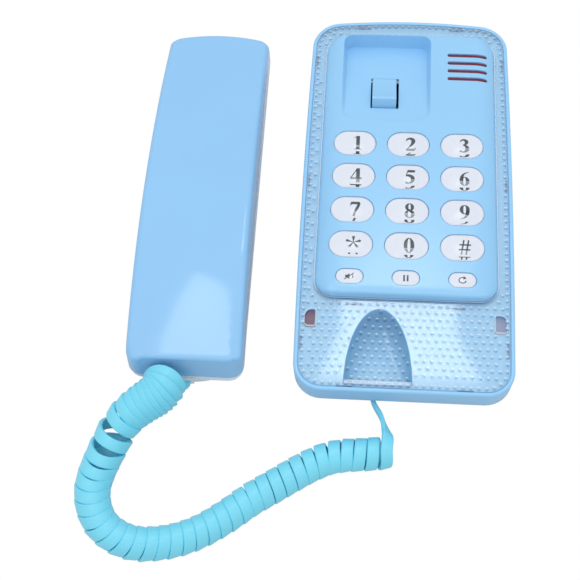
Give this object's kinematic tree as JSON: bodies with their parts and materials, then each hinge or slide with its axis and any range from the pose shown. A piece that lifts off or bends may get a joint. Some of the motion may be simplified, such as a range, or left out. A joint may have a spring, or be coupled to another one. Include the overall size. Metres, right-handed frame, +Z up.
{
  "type": "telephone",
  "caption": "Compact corded telephone in light blue: base with keypad, earpiece cradle and clear dimpled cover, handset laid beside it, curly cord between",
  "frame": {"origin": "centre of the box round base and handset, on the table they lie on", "axes": "+X from the handset to the base, +Y from the cord end to the earpiece end, +Z up from the table"},
  "size_m": [0.1848, 0.2676, 0.0314],
  "materials": {
    "base_blue": "satin, moulded light sky blue",
    "handset_blue": "glossy, moulded light sky blue",
    "clear_plastic": "clear cover, dimpled underneath",
    "frosted_plastic": "whitish frosted shell",
    "key_clear": "clear domed caps",
    "key_white": "white carriers with printed numbers",
    "cord_blue": "flat cord, translucent turquoise",
    "plug_plastic": "clear modular plugs",
    "grey_plastic": "moulded jacks",
    "black_plastic": "switch and receiver housings",
    "board": "dark brown-red circuit board",
    "silicone": "silicone keypad mat",
    "foot_rubber": "feet and microphone boot",
    "steel_pin": "pin, spring and screws",
    "weight_steel": "weight, zinc plated",
    "microphone_metal": "microphone can",
    "brass_disc": "ringer disc"
  },
  "bodies": {
    "base": {"upper_shell": "base_blue", "lower_shell": "base_blue", "clear_cover": "clear_plastic", "hook_pivot_pin": "steel_pin", "hook_spring": "steel_pin", "hook_switch": "black_plastic", "main_board": "board", "board_screws": "steel_pin", "keypad_mat": "silicone", "ringer_disc": "brass_disc", "base_jack": "grey_plastic", "line_jack": "grey_plastic", "base_screws": "steel_pin", "rubber_feet": "foot_rubber", "curly_cord": "cord_blue", "base_cord_lead": "cord_blue", "handset_cord_lead": "cord_blue", "base_plug": "plug_plastic"},
    "handset": {"handset_back_shell": "handset_blue", "handset_front_shell": "frosted_plastic", "earpiece_receiver": "black_plastic", "microphone": "microphone_metal", "microphone_boot": "foot_rubber", "handset_weight": "weight_steel", "handset_screws": "steel_pin", "handset_jack": "grey_plastic", "handset_plug": "plug_plastic"},
    "hook": {"hook_lever": "base_blue"},
    "key_1": {"key_cap_1": "key_clear", "key_insert_1": "key_white"},
    "key_2": {"key_cap_2": "key_clear", "key_insert_2": "key_white"},
    "key_3": {"key_cap_3": "key_clear", "key_insert_3": "key_white"},
    "key_4": {"key_cap_4": "key_clear", "key_insert_4": "key_white"},
    "key_5": {"key_cap_5": "key_clear", "key_insert_5": "key_white"},
    "key_6": {"key_cap_6": "key_clear", "key_insert_6": "key_white"},
    "key_7": {"key_cap_7": "key_clear", "key_insert_7": "key_white"},
    "key_8": {"key_cap_8": "key_clear", "key_insert_8": "key_white"},
    "key_9": {"key_cap_9": "key_clear", "key_insert_9": "key_white"},
    "key_star": {"key_cap_star": "key_clear", "key_insert_star": "key_white"},
    "key_0": {"key_cap_0": "key_clear", "key_insert_0": "key_white"},
    "key_hash": {"key_cap_hash": "key_clear", "key_insert_hash": "key_white"},
    "key_mute": {"key_cap_mute": "key_clear", "key_insert_mute": "key_white"},
    "key_pause": {"key_cap_pause": "key_clear", "key_insert_pause": "key_white"},
    "key_redial": {"key_cap_redial": "key_clear", "key_insert_redial": "key_white"}
  },
  "joints": [
    {"name": "handset_lift", "type": "slide", "parent": "base", "child": "handset", "axis": [0, 0, 1], "range_m": [0, 0.12], "deforming": ["curly_cord", "base_cord_lead", "handset_cord_lead"]},
    {"name": "hook_press", "type": "hinge", "parent": "base", "child": "hook", "pos_m": [0.02511, 0.0622, 0.02173], "axis": [1, 0, 0], "range_deg": [0, 15], "stiffness_Nm_per_rad": 0.02, "springref_deg": -14.9},
    {"name": "press_1", "type": "slide", "parent": "base", "child": "key_1", "axis": [0, 0, -1], "range_m": [0, 0.0013], "stiffness_N_per_m": 150, "springref_m": -0.0005},
    {"name": "press_2", "type": "slide", "parent": "base", "child": "key_2", "axis": [0, 0, -1], "range_m": [0, 0.0013], "stiffness_N_per_m": 150, "springref_m": -0.0005},
    {"name": "press_3", "type": "slide", "parent": "base", "child": "key_3", "axis": [0, 0, -1], "range_m": [0, 0.0013], "stiffness_N_per_m": 150, "springref_m": -0.0005},
    {"name": "press_4", "type": "slide", "parent": "base", "child": "key_4", "axis": [0, 0, -1], "range_m": [0, 0.0013], "stiffness_N_per_m": 150, "springref_m": -0.0005},
    {"name": "press_5", "type": "slide", "parent": "base", "child": "key_5", "axis": [0, 0, -1], "range_m": [0, 0.0013], "stiffness_N_per_m": 150, "springref_m": -0.0005},
    {"name": "press_6", "type": "slide", "parent": "base", "child": "key_6", "axis": [0, 0, -1], "range_m": [0, 0.0013], "stiffness_N_per_m": 150, "springref_m": -0.0005},
    {"name": "press_7", "type": "slide", "parent": "base", "child": "key_7", "axis": [0, 0, -1], "range_m": [0, 0.0013], "stiffness_N_per_m": 150, "springref_m": -0.0005},
    {"name": "press_8", "type": "slide", "parent": "base", "child": "key_8", "axis": [0, 0, -1], "range_m": [0, 0.0013], "stiffness_N_per_m": 150, "springref_m": -0.0005},
    {"name": "press_9", "type": "slide", "parent": "base", "child": "key_9", "axis": [0, 0, -1], "range_m": [0, 0.0013], "stiffness_N_per_m": 150, "springref_m": -0.0005},
    {"name": "press_star", "type": "slide", "parent": "base", "child": "key_star", "axis": [0, 0, -1], "range_m": [0, 0.0013], "stiffness_N_per_m": 150, "springref_m": -0.0005},
    {"name": "press_0", "type": "slide", "parent": "base", "child": "key_0", "axis": [0, 0, -1], "range_m": [0, 0.0013], "stiffness_N_per_m": 150, "springref_m": -0.0005},
    {"name": "press_hash", "type": "slide", "parent": "base", "child": "key_hash", "axis": [0, 0, -1], "range_m": [0, 0.0013], "stiffness_N_per_m": 150, "springref_m": -0.0005},
    {"name": "press_mute", "type": "slide", "parent": "base", "child": "key_mute", "axis": [0, 0, -1], "range_m": [0, 0.0013], "stiffness_N_per_m": 150, "springref_m": -0.0005},
    {"name": "press_pause", "type": "slide", "parent": "base", "child": "key_pause", "axis": [0, 0, -1], "range_m": [0, 0.0013], "stiffness_N_per_m": 150, "springref_m": -0.0005},
    {"name": "press_redial", "type": "slide", "parent": "base", "child": "key_redial", "axis": [0, 0, -1], "range_m": [0, 0.0013], "stiffness_N_per_m": 150, "springref_m": -0.0005}
  ]
}
